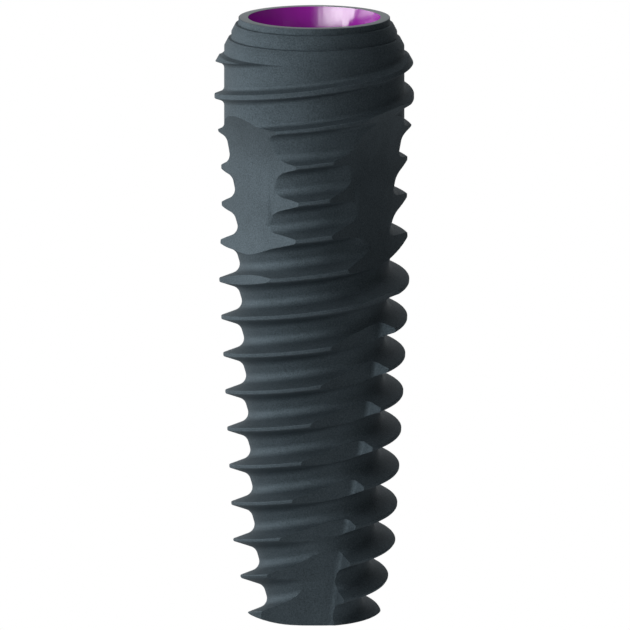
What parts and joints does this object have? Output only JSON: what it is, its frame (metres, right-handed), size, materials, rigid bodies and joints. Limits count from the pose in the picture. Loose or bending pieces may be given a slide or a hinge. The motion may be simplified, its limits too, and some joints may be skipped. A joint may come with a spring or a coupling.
{
  "type": "dental implant",
  "caption": "Tapered self-tapping bone-level implant: a coarse outer thread with cutting flutes, a ringed collar, and a conical socket with a hexagon and a blind screw bore.",
  "frame": {"origin": "centre of the flat apex face, on the implant's axis", "axes": "+Z along the axis from the apex to the platform rim; -Y is the front, where one cutting flute opens at the apex"},
  "size_m": [0.0042, 0.0042, 0.0129],
  "materials": {
    "blasted_titanium": "matt, grit-blasted and etched dark grey titanium",
    "anodised_titanium": "smooth violet anodised titanium, on the connection inside"
  },
  "bodies": {
    "root": {"implant_body": "blasted_titanium"}
  },
  "joints": []
}
